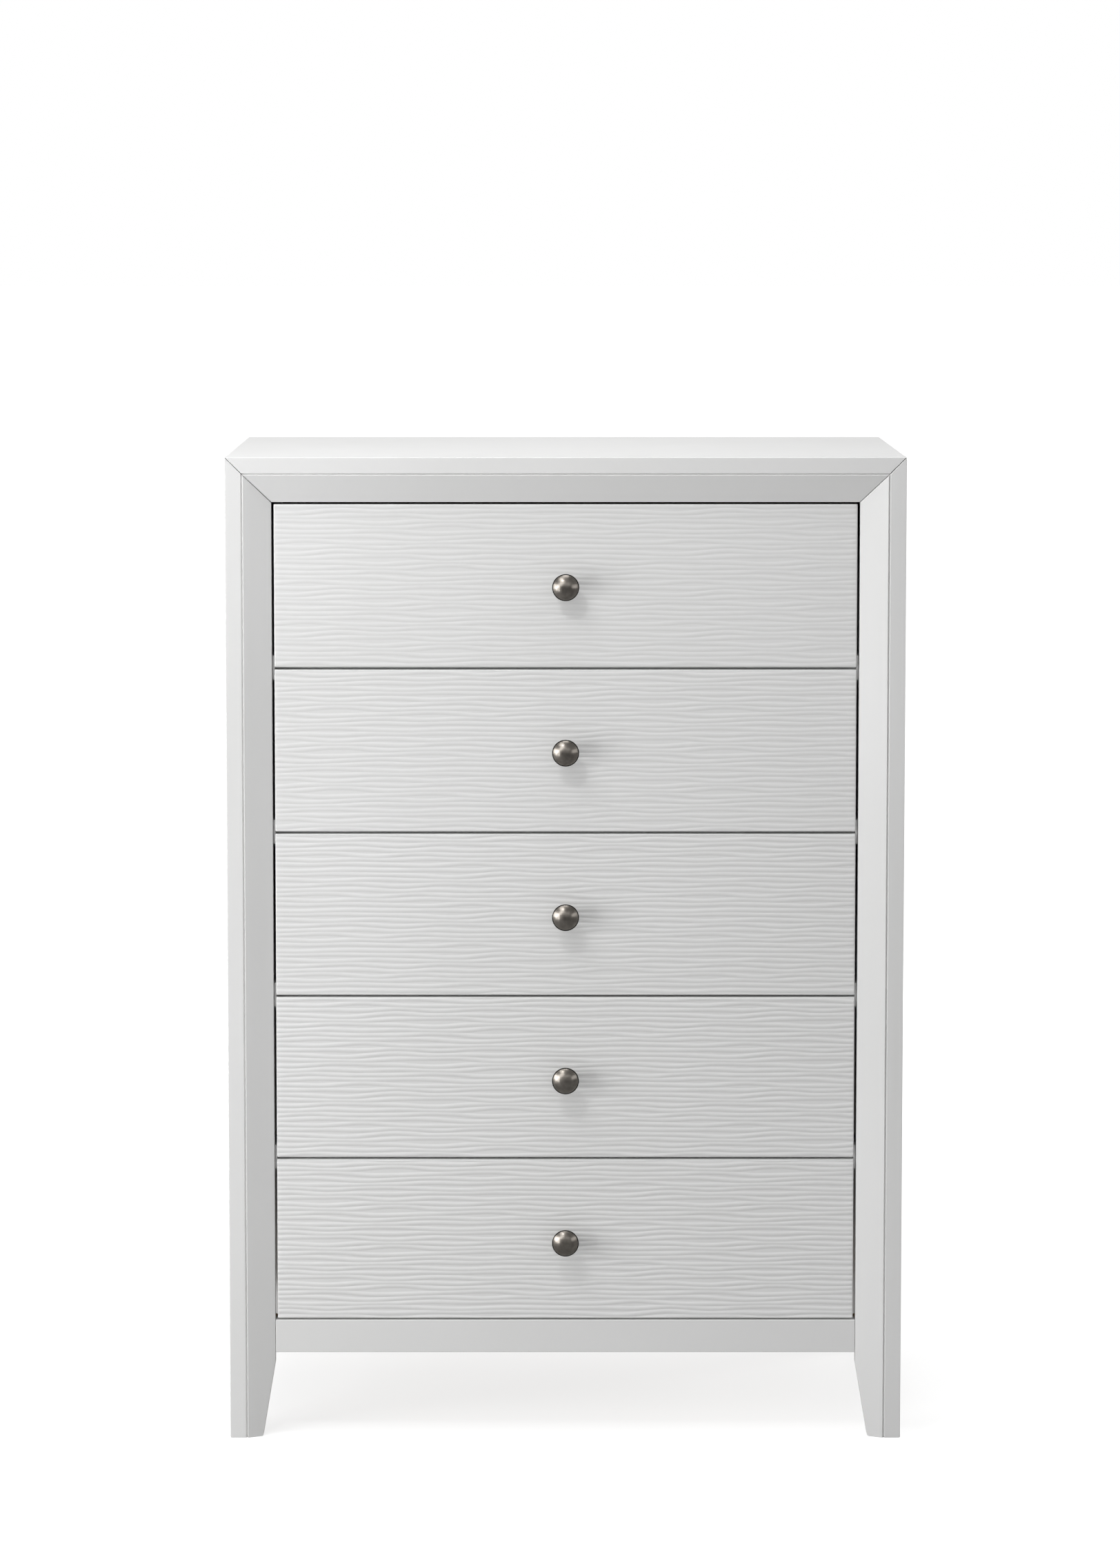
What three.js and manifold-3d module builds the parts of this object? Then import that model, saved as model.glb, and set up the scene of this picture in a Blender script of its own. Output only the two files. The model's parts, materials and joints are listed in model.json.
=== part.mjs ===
// A tall chest of drawers: a mitred face frame in front of a post-and-panel case, and a stack of
// drawers on centre tracks. Millimetres, +Z up, and the front faces -Y. The origin lies on the
// floor, under the middle of the outline that the case and the knobs share.

import * as THREE from 'three';
import { mergeVertices } from 'three/addons/utils/BufferGeometryUtils.js';
import Module from 'manifold-3d';

const wasm = await Module();
wasm.setup();

// Overall sizes
const WIDTH = 838;
const HEIGHT = 1230;
const CASE_DEPTH = 410; // front of the face frame to the back of the rear legs
const FIT = 0.3; // gap left between pieces that touch

// Face frame: a flat outer band, a V groove, and an inner band that slopes back
const STILE_WIDTH = 56;
const FRAME_THICKNESS = 24;
const BAND_WIDTH = 19.3;
const GROOVE_WIDTH = 2.8;
const GROOVE_DEPTH = 1.4;
const RECESS = 13; // depth of the inner band's inner edge, and of the drawer fronts
const BOTTOM_RAIL_BOTTOM = 105.3;
const BOTTOM_RAIL_TOP = 146.7;

// Legs, sides, top and back
const TAPER_HEIGHT = 92.5; // the legs narrow below this height
const TAPER = 15.6;
const POST_WIDTH = 38;
const POST_BACK = 60; // back of the front posts, from the front of the face frame
const REAR_LEG_SIZE = 45;
const TOP_THICKNESS = 20;
const SIDE_THICKNESS = 15;
const SIDE_RECESS = 4; // the side panels sit this far inside the posts' outer faces
const TONGUE = 8; // length of the side panels' edges inside the posts
const BACK_THICKNESS = 5;
const BACK_RECESS = 2;
const BACK_REBATE = 12;
const REAR_RAIL_THICKNESS = 20;
const REAR_TOP_RAIL_HEIGHT = 60;
const REAR_STRETCHER_HEIGHT = 50;
const BRACE_WIDTH = 70;

// Drawer fronts, and the rails behind the gaps between them
const DRAWERS = 5;
const FRONT_WIDTH = 719.6;
const FRONT_HEIGHT = 202;
const FRONT_THICKNESS = 20;
const FRONT_PITCH = 205.1;
const LOWEST_FRONT = 148.7; // bottom edge of the lowest front
const RAIL_HEIGHT = 30.6;
const RAIL_DEPTH = 45;
const RUNNER_RAIL_LENGTH = 700;

// Drawer boxes
const BOX_WIDTH = 704;
const BOX_LENGTH = 326; // back of the front to the rear face of the back
const BOARD = 12; // thickness of the sides and the back
const BOX_RISE = 1.75; // sides above the rail that they pass over
const BOX_TOP = 180; // top of the sides above the front's bottom edge
const BOTTOM_RISE = 10; // bottom panel above the sides' lower edges
const BOTTOM_THICKNESS = 4;
const DADO = 8; // depth of the sides' housings in the front
const PLOUGH = 6; // depth of the grooves that hold the bottom panel
const PINS = 4; // dovetail pins at each end of the back
const PIN_NARROW = 9;
const PIN_WIDE = 15;

// Centre tracks and the glides that ride on them
const TRACK_WIDTH = 36;
const TRACK_CREST = 22;
const TRACK_HEIGHT = 9;
const SHEET = 1.2; // thickness of the track's steel
const TRACK_SETBACK = 3; // track's front end behind the rail's front face
const GLIDE_PLAY = 1;
const GLIDE_WALL = 5;
const GLIDE_HEIGHT = 34;
const GLIDE_DEPTH = 10;

// Knobs: a foot on the front, a waisted stem and a domed cap
const KNOB_REACH = 28;
const CAP_RADIUS = 16.65;
const CAP_EDGE = [19, 20.6]; // where the cap's upright rim starts and ends
const KNOB_SEGMENTS = 24;
const DOME_STEPS = 5;

// Places that follow from the sizes above
const KNOB_PROUD = KNOB_REACH - RECESS;
const FRONT = KNOB_PROUD - (CASE_DEPTH + KNOB_PROUD) / 2;
const BACK = FRONT + CASE_DEPTH;
const OUTER = WIDTH / 2;
const FACE = FRONT + RECESS; // plane of the drawer fronts
const BEHIND_FRONT = FACE + FRONT_THICKNESS;
const BEHIND_FRAME = FRONT + FRAME_THICKNESS + FIT;
const UNDER_TOP = HEIGHT - TOP_THICKNESS - FIT;
const GAP = FRONT_PITCH - FRONT_HEIGHT;
const RAIL_TOP = (RAIL_HEIGHT - GAP) / 2; // above the bottom edge of the front over the rail
const SIDE_OUTER = OUTER - SIDE_RECESS;
const SIDE_INNER = SIDE_OUTER - SIDE_THICKNESS;
const BACK_FACE = BACK - BACK_RECESS;
const BACK_FRONT = BACK_FACE - BACK_THICKNESS;
const REAR_RAIL_BACK = BACK_FRONT - FIT;
const REAR_RAIL_FRONT = REAR_RAIL_BACK - REAR_RAIL_THICKNESS;
const STRETCHER_BOTTOM = BOTTOM_RAIL_BOTTOM + 10;
const STRETCHER_TOP = STRETCHER_BOTTOM + REAR_STRETCHER_HEIGHT;
const REAR_TOP_RAIL_BOTTOM = UNDER_TOP - REAR_TOP_RAIL_HEIGHT;
const BETWEEN_REAR_LEGS = OUTER - REAR_LEG_SIZE - FIT;

// Finishes: each call makes one piece's own material.
const finish = (color, roughness, metalness) => () => (
  new THREE.MeshStandardMaterial({ color, roughness, metalness })
);
const whitePaint = finish(0xf1f1ef, 0.42, 0);
const paleWood = finish(0xd9c09a, 0.6, 0);
const plywood = finish(0xcbb089, 0.65, 0);
const zincSteel = finish(0xb9bcc0, 0.35, 1);
const whitePlastic = finish(0xe9e7e0, 0.5, 0);
const satinNickel = finish(0x8f8a83, 0.28, 1);

const chest = new THREE.Group();

function add(name, geometry, material, parent = chest) {
  const mesh = new THREE.Mesh(geometry, material);
  mesh.name = name;
  parent.add(mesh);
}

// A box between two places on each axis, given in either order.
function box(...spans) {
  const sizes = spans.map(([a, b]) => Math.abs(b - a));
  const middles = spans.map(([a, b]) => (a + b) / 2);
  return new THREE.BoxGeometry(...sizes).translate(...middles);
}

// A prism along one axis: its outline is (y, z) along x, (x, z) along y and (x, y) along z.
function prism(axis, outline, start, end) {
  const shape = new THREE.Shape(outline.map(([a, b]) => new THREE.Vector2(a, b)));
  const solid = new THREE.ExtrudeGeometry(shape, { depth: end - start, bevelEnabled: false });
  if (axis === 'x') return solid.rotateX(Math.PI / 2).rotateZ(Math.PI / 2).translate(start, 0, 0);
  if (axis === 'y') return solid.rotateX(Math.PI / 2).translate(0, end, 0);
  return solid.translate(0, 0, start);
}

function toSolid(geometry) {
  const bare = geometry.clone();
  bare.deleteAttribute('normal');
  bare.deleteAttribute('uv');
  const merged = mergeVertices(bare);
  return new wasm.Manifold(new wasm.Mesh({
    numProp: 3,
    vertProperties: new Float32Array(merged.attributes.position.array),
    triVerts: new Uint32Array(merged.index.array),
  }));
}

function toGeometry(solid) {
  const mesh = solid.getMesh();
  const geometry = new THREE.BufferGeometry();
  geometry.setAttribute('position', new THREE.BufferAttribute(mesh.vertProperties, 3));
  geometry.setIndex(new THREE.BufferAttribute(mesh.triVerts, 1));
  geometry.computeVertexNormals();
  return geometry;
}

function cut(geometry, ...cutters) {
  const solids = cutters.map(toSolid);
  return toGeometry(solids.reduce((solid, cutter) => solid.subtract(cutter), toSolid(geometry)));
}

function join(...geometries) {
  return toGeometry(geometries.map(toSolid).reduce((solid, other) => solid.add(other)));
}

// Face frame. The moulding's outline runs from the outer edge (0) to the inner edge.
const MOULDING = [
  [0, 0],
  [BAND_WIDTH, 0],
  [BAND_WIDTH + GROOVE_WIDTH / 2, GROOVE_DEPTH],
  [BAND_WIDTH + GROOVE_WIDTH, 0],
  [STILE_WIDTH, RECESS],
  [STILE_WIDTH, FRAME_THICKNESS],
  [0, FRAME_THICKNESS],
];
const CLEAR = 10; // how far a cutter reaches past what it cuts
const MITRE_SHIFT = FIT * Math.SQRT1_2;

// The mitre at one top corner, shifted up or down, with the far side of the cutter at endZ.
function mitreCutter(side, shift, endZ) {
  const outerX = side * (OUTER + CLEAR);
  const innerX = side * (OUTER - STILE_WIDTH - CLEAR);
  const outline = [
    [outerX, HEIGHT + CLEAR + shift],
    [innerX, HEIGHT - STILE_WIDTH - CLEAR + shift],
    [innerX, endZ],
    [outerX, endZ],
  ];
  return prism('y', outline, FRONT - CLEAR, FRONT + FRAME_THICKNESS + CLEAR);
}

// What a leg loses on one face below TAPER_HEIGHT: place is the face, inward points into the leg.
function taperCutter(axis, place, inward, start, end) {
  const slope = TAPER / TAPER_HEIGHT;
  const outline = [
    [place, TAPER_HEIGHT],
    [place + inward * slope * (TAPER_HEIGHT + CLEAR), -CLEAR],
    [place - inward * CLEAR, -CLEAR],
    [place - inward * CLEAR, TAPER_HEIGHT],
  ];
  return prism(axis, outline, start, end);
}

function stile(side) {
  const outline = MOULDING.map(([across, depth]) => [side * (OUTER - across), FRONT + depth]);
  return cut(
    prism('z', outline, 0, HEIGHT),
    mitreCutter(side, -MITRE_SHIFT, HEIGHT + 2 * CLEAR),
    taperCutter('y', side * (OUTER - STILE_WIDTH), side, FRONT - CLEAR, FRONT + FRAME_THICKNESS + CLEAR),
  );
}

function topRail() {
  const outline = MOULDING.map(([across, depth]) => [FRONT + depth, HEIGHT - across]);
  const lowEnd = HEIGHT - STILE_WIDTH - 3 * CLEAR;
  return cut(
    prism('x', outline, -OUTER, OUTER),
    mitreCutter(-1, MITRE_SHIFT, lowEnd),
    mitreCutter(1, MITRE_SHIFT, lowEnd),
  );
}

add('left_stile', stile(-1), whitePaint());
add('right_stile', stile(1), whitePaint());
add('top_rail', topRail(), whitePaint());

const RAIL_END = OUTER - STILE_WIDTH - FIT;
const railHeights = [BOTTOM_RAIL_BOTTOM, BOTTOM_RAIL_TOP];
add('bottom_rail', box([-RAIL_END, RAIL_END], [FACE, BEHIND_FRONT], railHeights), whitePaint());

// Case. Each side panel's edges stand in grooves in the front post and the rear leg.
const PANEL_SPAN = [FRONT + POST_BACK - TONGUE, BACK - REAR_LEG_SIZE + TONGUE];
const PANEL_HEIGHTS = [BOTTOM_RAIL_BOTTOM, UNDER_TOP];

function panelGroove(side) {
  return box(
    [side * (SIDE_OUTER + FIT), side * (SIDE_INNER - FIT)],
    [PANEL_SPAN[0] - FIT, PANEL_SPAN[1] + FIT],
    [PANEL_HEIGHTS[0] - FIT, HEIGHT],
  );
}

function frontPost(side) {
  const inner = side * (OUTER - POST_WIDTH);
  return cut(
    box([side * OUTER, inner], [BEHIND_FRAME, FRONT + POST_BACK], [0, UNDER_TOP]),
    panelGroove(side),
    taperCutter('x', FRONT + POST_BACK, -1, -OUTER - CLEAR, OUTER + CLEAR),
  );
}

function rearLeg(side) {
  const inner = side * (OUTER - REAR_LEG_SIZE);
  const rebate = box(
    [inner - side * CLEAR, inner + side * BACK_REBATE],
    [BACK_FRONT - FIT, BACK + CLEAR],
    [STRETCHER_BOTTOM - FIT, HEIGHT],
  );
  return cut(
    box([side * OUTER, inner], [BACK - REAR_LEG_SIZE, BACK], [0, UNDER_TOP]),
    panelGroove(side),
    rebate,
    taperCutter('x', BACK - REAR_LEG_SIZE, 1, -OUTER - CLEAR, OUTER + CLEAR),
    taperCutter('y', inner, side, BACK - REAR_LEG_SIZE - CLEAR, BACK + CLEAR),
  );
}

for (const [word, side] of [['left', -1], ['right', 1]]) {
  const panel = box([side * SIDE_OUTER, side * SIDE_INNER], PANEL_SPAN, PANEL_HEIGHTS);
  add(`front_${word}_post`, frontPost(side), whitePaint());
  add(`rear_${word}_leg`, rearLeg(side), whitePaint());
  add(`${word}_side_panel`, panel, whitePaint());
}
const topPanel = box([-OUTER, OUTER], [BEHIND_FRAME, BACK], [HEIGHT - TOP_THICKNESS, HEIGHT]);
add('top_panel', topPanel, whitePaint());

const REAR_SPAN = [-BETWEEN_REAR_LEGS, BETWEEN_REAR_LEGS];
const REAR_DEPTHS = [REAR_RAIL_FRONT, REAR_RAIL_BACK];
const BACK_EDGE = OUTER - REAR_LEG_SIZE + BACK_REBATE - FIT;
add('rear_top_rail', box(REAR_SPAN, REAR_DEPTHS, [REAR_TOP_RAIL_BOTTOM, UNDER_TOP]), paleWood());
add('rear_stretcher', box(REAR_SPAN, REAR_DEPTHS, [STRETCHER_BOTTOM, STRETCHER_TOP]), paleWood());
const braceHeights = [STRETCHER_TOP + FIT, REAR_TOP_RAIL_BOTTOM - FIT];
add('back_brace', box([-BRACE_WIDTH / 2, BRACE_WIDTH / 2], REAR_DEPTHS, braceHeights), paleWood());
const backHeights = [STRETCHER_BOTTOM, UNDER_TOP];
add('back_panel', box([-BACK_EDGE, BACK_EDGE], [BACK_FRONT, BACK_FACE], backHeights), plywood());

// Rails under the drawers. The lowest one is glued to the back of the bottom rail.
const DIVIDER_END = OUTER - POST_WIDTH - FIT;
const DIVIDER_FRONT = BEHIND_FRONT + FIT;
const DIVIDER_BACK = DIVIDER_FRONT + RAIL_DEPTH;
const frontBottom = (drawer) => LOWEST_FRONT + (DRAWERS - drawer) * FRONT_PITCH;

for (let drawer = 1; drawer < DRAWERS; drawer += 1) {
  const top = frontBottom(drawer) + RAIL_TOP;
  const heights = [top - RAIL_HEIGHT, top];
  const rail = box([-DIVIDER_END, DIVIDER_END], [DIVIDER_FRONT, DIVIDER_BACK], heights);
  add(`divider_rail_${drawer}`, rail, whitePaint());
}
const runnerRail = box(
  [-RUNNER_RAIL_LENGTH / 2, RUNNER_RAIL_LENGTH / 2],
  [DIVIDER_FRONT, DIVIDER_BACK],
  [BOTTOM_RAIL_BOTTOM, LOWEST_FRONT + RAIL_TOP],
);
add('lower_runner_rail', runnerRail, paleWood());

// Drawer pieces are drawn once, with z measured from the bottom edge of the drawer's front.
const BOX_BOTTOM = RAIL_TOP + BOX_RISE;
const PANEL_UNDERSIDE = BOX_BOTTOM + BOTTOM_RISE;
const PANEL_TOP = PANEL_UNDERSIDE + BOTTOM_THICKNESS;
const BOX_OUTER = BOX_WIDTH / 2;
const BOX_INNER = BOX_OUTER - BOARD;
const BOX_BACK = BEHIND_FRONT + BOX_LENGTH;
const BACK_BOTTOM = PANEL_TOP + FIT;
const BOX_PANEL_FRONT = BEHIND_FRONT - PLOUGH + FIT;
const PIN_SPACING = (BOX_TOP - BACK_BOTTOM) / PINS;

// The outline of one dovetail pin seen from the side, grown by a margin all round.
function pinOutline(index, margin) {
  const middle = BACK_BOTTOM + (index + 0.5) * PIN_SPACING;
  const wide = PIN_WIDE / 2 + margin;
  const narrow = PIN_NARROW / 2 + margin;
  return [
    [BOX_BACK - BOARD - margin, middle - wide],
    [BOX_BACK + margin, middle - narrow],
    [BOX_BACK + margin, middle + narrow],
    [BOX_BACK - BOARD - margin, middle + wide],
  ];
}

// Every pin as a bar across the whole box, long enough to end at a given distance from the middle.
function pinBars(margin, end) {
  return Array.from({ length: PINS }, (_, index) => prism('x', pinOutline(index, margin), -end, end));
}

function drawerFront() {
  const housing = (side) => box(
    [side * (BOX_OUTER + FIT), side * (BOX_INNER - FIT)],
    [BEHIND_FRONT - DADO, BEHIND_FRONT + CLEAR],
    [BOX_BOTTOM - FIT, BOX_TOP + FIT],
  );
  const plough = box(
    [-BOX_INNER - FIT, BOX_INNER + FIT],
    [BEHIND_FRONT - PLOUGH, BEHIND_FRONT + CLEAR],
    [PANEL_UNDERSIDE - FIT, PANEL_TOP + FIT],
  );
  const board = box([-FRONT_WIDTH / 2, FRONT_WIDTH / 2], [FACE, BEHIND_FRONT], [0, FRONT_HEIGHT]);
  return cut(board, housing(-1), housing(1), plough);
}

function drawerSide(side) {
  const start = BEHIND_FRONT - DADO + FIT;
  const plough = box(
    [side * (BOX_INNER - CLEAR), side * (BOX_INNER + PLOUGH)],
    [start - CLEAR, BOX_BACK + CLEAR],
    [PANEL_UNDERSIDE - FIT, PANEL_TOP + FIT],
  );
  const board = box([side * BOX_INNER, side * BOX_OUTER], [start, BOX_BACK], [BOX_BOTTOM, BOX_TOP]);
  return cut(board, plough, ...pinBars(FIT, BOX_OUTER + CLEAR));
}

function drawerBack() {
  const inner = BOX_INNER - FIT;
  const board = box([-inner, inner], [BOX_BACK - BOARD, BOX_BACK], [BACK_BOTTOM, BOX_TOP]);
  return join(board, ...pinBars(0, BOX_OUTER));
}

function drawerBottom() {
  const edge = BOX_INNER + PLOUGH - FIT;
  return cut(
    box([-edge, edge], [BOX_PANEL_FRONT, BOX_BACK], [PANEL_UNDERSIDE, PANEL_TOP]),
    ...[-1, 1].map((side) => box(
      [side * (BOX_INNER - FIT), side * (edge + CLEAR)],
      [BOX_PANEL_FRONT - CLEAR, BEHIND_FRONT + FIT],
      [PANEL_UNDERSIDE - CLEAR, PANEL_TOP + CLEAR],
    )),
  );
}

// The track is a hat section with its flanges on the rail below the drawer.
const TRACK_BOTTOM = RAIL_TOP + FIT;
const TRACK_TOP = TRACK_BOTTOM + TRACK_HEIGHT;

function drawerTrack() {
  const half = [
    [TRACK_CREST / 2, TRACK_TOP],
    [TRACK_CREST / 2, TRACK_BOTTOM + SHEET],
    [TRACK_WIDTH / 2, TRACK_BOTTOM + SHEET],
    [TRACK_WIDTH / 2, TRACK_BOTTOM],
    [TRACK_CREST / 2 - SHEET, TRACK_BOTTOM],
    [TRACK_CREST / 2 - SHEET, TRACK_TOP - SHEET],
  ];
  const mirrored = half.map(([x, z]) => [-x, z]).reverse();
  return prism('y', [...half, ...mirrored], DIVIDER_FRONT + TRACK_SETBACK, REAR_RAIL_FRONT - FIT);
}

// The glide is screwed to the drawer's back, and its two legs straddle the track's crest.
function drawerGlide() {
  const inner = TRACK_CREST / 2 + GLIDE_PLAY;
  const outer = inner + GLIDE_WALL;
  const foot = TRACK_BOTTOM + SHEET + GLIDE_PLAY;
  const outline = [
    [-outer, foot],
    [-inner, foot],
    [-inner, TRACK_TOP + GLIDE_PLAY],
    [inner, TRACK_TOP + GLIDE_PLAY],
    [inner, foot],
    [outer, foot],
    [outer, foot + GLIDE_HEIGHT],
    [-outer, foot + GLIDE_HEIGHT],
  ];
  return prism('y', outline, BOX_BACK + FIT, BOX_BACK + FIT + GLIDE_DEPTH);
}

function drawerKnob() {
  // Radius and height of each corner, from the middle of the foot to the underside of the cap
  const stem = [[0, 0], [8.5, 0], [8.5, 1.6], [6.8, 4], [6.2, 9], [7.4, 13], [13.6, 17]];
  const rim = CAP_EDGE.map((height) => [CAP_RADIUS, height]);
  const rise = KNOB_REACH - FIT - CAP_EDGE[1];
  const dome = Array.from({ length: DOME_STEPS }, (_, step) => {
    const angle = ((step + 1) / DOME_STEPS) * (Math.PI / 2);
    const last = step === DOME_STEPS - 1;
    return [last ? 0 : CAP_RADIUS * Math.cos(angle), CAP_EDGE[1] + rise * Math.sin(angle)];
  });
  const profile = [...stem, ...rim, ...dome].map(([radius, height]) => new THREE.Vector2(radius, height));
  const knob = new THREE.LatheGeometry(profile, KNOB_SEGMENTS);
  return knob.rotateX(Math.PI).translate(0, FACE - FIT, FRONT_HEIGHT / 2);
}

const drawerPieces = [
  ['front', drawerFront(), whitePaint],
  ['left_side', drawerSide(-1), paleWood],
  ['right_side', drawerSide(1), paleWood],
  ['back', drawerBack(), paleWood],
  ['bottom', drawerBottom(), plywood],
  ['glide', drawerGlide(), whitePlastic],
  ['knob', drawerKnob(), satinNickel],
];
const track = drawerTrack();

for (let drawer = 1; drawer <= DRAWERS; drawer += 1) {
  const group = new THREE.Group();
  group.position.z = frontBottom(drawer);
  for (const [word, geometry, material] of drawerPieces) {
    add(`drawer_${drawer}_${word}`, geometry, material(), group);
  }
  add(`drawer_track_${drawer}`, track, zincSteel(), group);
  chest.add(group);
}

export default chest;
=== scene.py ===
"""Looks for the tall chest of drawers: camera, studio, materials, rippled fronts, knobs and fittings.

Metres, in the row frame: +Z up, and the front faces -Y.
"""

import json
import math

import bmesh
import bpy
import numpy as np
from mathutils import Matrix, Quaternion, Vector

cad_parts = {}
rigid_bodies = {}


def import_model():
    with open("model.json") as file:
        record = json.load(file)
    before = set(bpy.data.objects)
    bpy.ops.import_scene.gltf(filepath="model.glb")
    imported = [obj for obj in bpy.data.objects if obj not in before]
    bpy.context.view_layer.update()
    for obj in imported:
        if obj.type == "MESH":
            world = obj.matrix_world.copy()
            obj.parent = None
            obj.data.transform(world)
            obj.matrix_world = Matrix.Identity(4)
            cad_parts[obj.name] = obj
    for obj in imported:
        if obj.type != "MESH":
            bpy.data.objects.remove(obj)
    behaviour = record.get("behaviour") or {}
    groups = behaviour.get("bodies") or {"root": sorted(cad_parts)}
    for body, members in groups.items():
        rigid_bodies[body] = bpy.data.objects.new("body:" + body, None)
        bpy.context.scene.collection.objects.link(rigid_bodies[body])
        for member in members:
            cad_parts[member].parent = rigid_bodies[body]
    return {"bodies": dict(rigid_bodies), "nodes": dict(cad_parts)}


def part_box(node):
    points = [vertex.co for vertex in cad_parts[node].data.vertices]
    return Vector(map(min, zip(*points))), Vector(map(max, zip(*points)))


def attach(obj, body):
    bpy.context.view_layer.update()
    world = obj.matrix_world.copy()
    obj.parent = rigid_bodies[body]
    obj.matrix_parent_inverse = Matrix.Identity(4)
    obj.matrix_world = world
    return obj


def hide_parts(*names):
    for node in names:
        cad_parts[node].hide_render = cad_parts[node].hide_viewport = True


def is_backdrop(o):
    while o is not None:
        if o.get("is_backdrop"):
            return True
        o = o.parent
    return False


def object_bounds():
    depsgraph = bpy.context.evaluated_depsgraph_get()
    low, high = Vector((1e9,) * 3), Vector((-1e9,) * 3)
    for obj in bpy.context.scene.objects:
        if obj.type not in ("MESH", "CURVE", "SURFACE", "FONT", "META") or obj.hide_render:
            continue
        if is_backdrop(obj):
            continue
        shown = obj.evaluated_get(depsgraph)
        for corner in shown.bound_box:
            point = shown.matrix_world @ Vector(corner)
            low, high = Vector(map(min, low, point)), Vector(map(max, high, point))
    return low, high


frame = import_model()
cad_low, cad_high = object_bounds()
MM = 0.001
scene = bpy.context.scene

# ------------------------------------------------------------------ places from the frame
DRAWERS = sorted(body for body in frame["bodies"] if body.startswith("drawer_"))
stile_low, stile_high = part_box("left_stile")
rail_low, rail_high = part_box("top_rail")
FRAME_FRONT = stile_low.y
FRAME_BACK = stile_high.y
OUTER = cad_high.x
HEIGHT = cad_high.z
STILE_WIDTH = rail_high.z - rail_low.z


# ------------------------------------------------------------------ small mesh helpers
def link(name, mesh):
    piece = bpy.data.objects.new(name, mesh)
    scene.collection.objects.link(piece)
    return piece


def mesh_from(name, points, faces):
    mesh = bpy.data.meshes.new(name)
    mesh.from_pydata([tuple(p) for p in points], [], faces)
    mesh.validate()
    mesh.update()
    return mesh


def piece_from_bmesh(name, bm, smooth_angle=None, flat_faces=False):
    bmesh.ops.recalc_face_normals(bm, faces=bm.faces)
    mesh = bpy.data.meshes.new(name)
    bm.to_mesh(mesh)
    bm.free()
    piece = link(name, mesh)
    if smooth_angle is not None:
        shade_smooth(piece, smooth_angle, flat_faces)
    return piece


def shade_smooth(piece, angle=30, flat_faces=False):
    """Smooth shading with sharp edges above angle; flat_faces keeps broad faces flat by their arrises."""
    piece.data.shade_smooth()
    piece.data.set_sharp_from_angle(angle=math.radians(angle))
    if flat_faces:
        weigh = piece.modifiers.new("flat_faces", "WEIGHTED_NORMAL")
        weigh.keep_sharp = True


# ------------------------------------------------------------------ materials
def node_material(name):
    material = bpy.data.materials.new(name)
    material.use_nodes = True
    nodes, links = material.node_tree.nodes, material.node_tree.links
    nodes.clear()
    output = nodes.new("ShaderNodeOutputMaterial")
    shader = nodes.new("ShaderNodeBsdfPrincipled")
    links.new(shader.outputs["BSDF"], output.inputs["Surface"])
    return material, nodes, links, shader


def object_coordinates(nodes, links, scale=(1, 1, 1)):
    coordinates = nodes.new("ShaderNodeTexCoord")
    mapping = nodes.new("ShaderNodeMapping")
    mapping.inputs["Scale"].default_value = scale
    links.new(coordinates.outputs["Object"], mapping.inputs["Vector"])
    return mapping.outputs["Vector"]


def noise(nodes, links, vector, scale, detail=3.0, roughness=0.5, distortion=0.0):
    texture = nodes.new("ShaderNodeTexNoise")
    texture.inputs["Scale"].default_value = scale
    texture.inputs["Detail"].default_value = detail
    texture.inputs["Roughness"].default_value = roughness
    texture.inputs["Distortion"].default_value = distortion
    links.new(vector, texture.inputs["Vector"])
    return texture.outputs["Fac"]


def ramp(nodes, links, factor, stops):
    """A colour ramp; each stop is a place and a grey level or a colour."""
    node = nodes.new("ShaderNodeValToRGB")
    elements = node.color_ramp.elements
    while len(elements) < len(stops):
        elements.new(0.5)
    for element, (place, colour) in zip(elements, stops):
        element.position = place
        element.color = (*colour, 1) if isinstance(colour, tuple) else (colour, colour, colour, 1)
    links.new(factor, node.inputs["Fac"])
    return node.outputs["Color"]


def map_range(nodes, links, factor, low, high):
    node = nodes.new("ShaderNodeMapRange")
    node.inputs["To Min"].default_value = low
    node.inputs["To Max"].default_value = high
    links.new(factor, node.inputs["Value"])
    return node.outputs["Result"]


def bump(nodes, links, shader, height, distance, strength=1.0, previous=None):
    node = nodes.new("ShaderNodeBump")
    node.inputs["Distance"].default_value = distance
    node.inputs["Strength"].default_value = strength
    links.new(height, node.inputs["Height"])
    if previous is not None:
        links.new(previous, node.inputs["Normal"])
    links.new(node.outputs["Normal"], shader.inputs["Normal"])
    return node.outputs["Normal"]


def white_paint():
    """Sprayed satin paint: faint orange peel, and a tone that drifts a little over the surface."""
    material, nodes, links, shader = node_material("white_paint")
    vector = object_coordinates(nodes, links)
    drift = noise(nodes, links, vector, 2.5, detail=2.0)
    tone = ramp(nodes, links, drift, [(0.35, (0.845, 0.845, 0.838)), (0.65, (0.872, 0.872, 0.868))])
    links.new(tone, shader.inputs["Base Color"])
    mottle = noise(nodes, links, vector, 45.0, detail=4.0)
    links.new(map_range(nodes, links, mottle, 0.34, 0.5), shader.inputs["Roughness"])
    peel = noise(nodes, links, vector, 900.0, detail=1.5)
    bump(nodes, links, shader, peel, 0.00006, 0.35)
    shader.inputs["Specular IOR Level"].default_value = 0.42
    return material


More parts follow.
